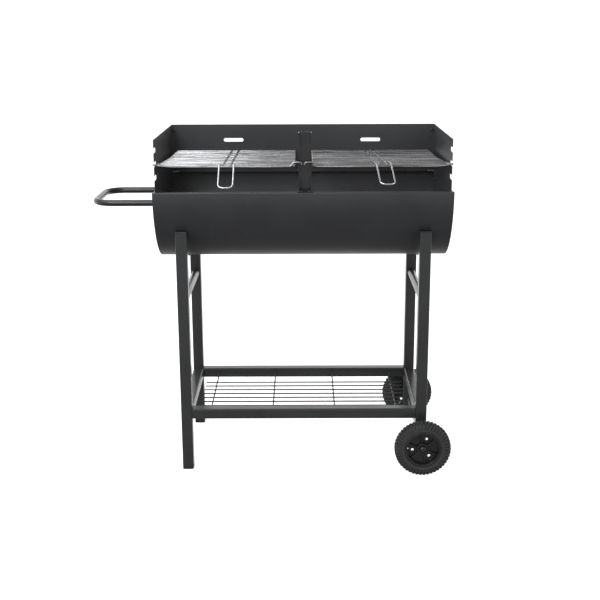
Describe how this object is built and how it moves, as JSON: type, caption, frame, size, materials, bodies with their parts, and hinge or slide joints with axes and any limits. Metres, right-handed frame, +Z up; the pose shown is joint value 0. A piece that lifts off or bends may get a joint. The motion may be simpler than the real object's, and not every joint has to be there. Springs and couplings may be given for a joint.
{
  "type": "barrel charcoal grill",
  "caption": "Half-barrel charcoal grill with a windshield, lift-out wire cooking grates and a notched centre support, on a wheeled tube trolley with a wire shelf.",
  "frame": {"origin": "centre of the footprint's bounding box, on the ground", "axes": "+X along the bowl's length from the push handle to the wheels, +Y from the cook's side to the windshield's back panel, +Z up"},
  "size_m": [0.9618, 0.53, 0.9215],
  "materials": {
    "bowl_paint": "satin heat-proof black paint on sheet steel",
    "frame_paint": "satin black powder coat on steel tube",
    "wire_paint": "satin black paint on steel wire",
    "chrome_wire": "bright chrome-plated wire",
    "zinc_plate": "zinc-plated steel",
    "black_plastic": "moulded matt black plastic",
    "tyre_tread": "matt dark grey, block tread"
  },
  "bodies": {
    "frame": {"bowl_shell": "bowl_paint", "bowl_end_left": "bowl_paint", "bowl_end_right": "bowl_paint", "windshield_back": "bowl_paint", "windshield_left": "bowl_paint", "windshield_right": "bowl_paint", "centre_support": "bowl_paint", "shelf_grid": "wire_paint", "leg_front_left": "frame_paint", "leg_rear_left": "frame_paint", "leg_front_right": "frame_paint", "leg_rear_right": "frame_paint", "leg_brace_left": "frame_paint", "leg_brace_right": "frame_paint", "shelf_rail_front": "frame_paint", "shelf_rail_rear": "frame_paint", "shelf_rail_left": "frame_paint", "shelf_rail_right": "frame_paint", "push_handle": "frame_paint", "bowl_bolt_left": "frame_paint", "bowl_bolt_right": "frame_paint", "corner_screw_low_left": "frame_paint", "corner_screw_high_left": "frame_paint", "corner_screw_low_right": "frame_paint", "corner_screw_high_right": "frame_paint", "windshield_bolt_front_left": "frame_paint", "windshield_bolt_rear_left": "frame_paint", "windshield_bolt_front_right": "frame_paint", "windshield_bolt_rear_right": "frame_paint", "rim_screw_1": "frame_paint", "rim_screw_2": "frame_paint", "rim_screw_3": "frame_paint", "rim_screw_4": "frame_paint", "support_screw_left": "frame_paint", "support_screw_right": "frame_paint", "push_handle_bolt_front": "frame_paint", "push_handle_bolt_rear": "frame_paint", "leg_top_cap_front_left": "black_plastic", "leg_top_cap_rear_left": "black_plastic", "leg_top_cap_front_right": "black_plastic", "leg_top_cap_rear_right": "black_plastic", "foot_cap_front": "black_plastic", "foot_cap_rear": "black_plastic", "axle_cap_front": "black_plastic", "axle_cap_rear": "black_plastic", "axle": "zinc_plate", "axle_washer_front": "zinc_plate", "axle_washer_rear": "zinc_plate"},
    "wheel_front": {"wheel_hub_front": "black_plastic", "tyre_front": "tyre_tread"},
    "wheel_rear": {"wheel_hub_rear": "black_plastic", "tyre_rear": "tyre_tread"},
    "grate_left_body": {"grate_left": "chrome_wire", "grate_handle_left": "chrome_wire"},
    "grate_right_body": {"grate_right": "chrome_wire", "grate_handle_right": "chrome_wire"},
    "charcoal_left": {"charcoal_grate_left": "wire_paint"},
    "charcoal_right": {"charcoal_grate_right": "wire_paint"}
  },
  "joints": [
    {"name": "wheel_front_spin", "type": "hinge", "parent": "frame", "child": "wheel_front", "pos_m": [0.40469, -0.19826, 0.0762], "axis": [0, 1, 0], "continuous": true},
    {"name": "wheel_rear_spin", "type": "hinge", "parent": "frame", "child": "wheel_rear", "pos_m": [0.40469, 0.24574, 0.0762], "axis": [0, 1, 0], "continuous": true},
    {"name": "grate_left_slide", "type": "slide", "parent": "frame", "child": "grate_left_body", "axis": [0, -0.9998, 0.0201], "range_m": [0, 0.35]},
    {"name": "grate_right_slide", "type": "slide", "parent": "frame", "child": "grate_right_body", "axis": [0, -0.9998, 0.0201], "range_m": [0, 0.35]},
    {"name": "charcoal_left_lift", "type": "slide", "parent": "frame", "child": "charcoal_left", "axis": [0, 0, 1], "range_m": [0, 0.15]},
    {"name": "charcoal_right_lift", "type": "slide", "parent": "frame", "child": "charcoal_right", "axis": [0, 0, 1], "range_m": [0, 0.15]}
  ]
}
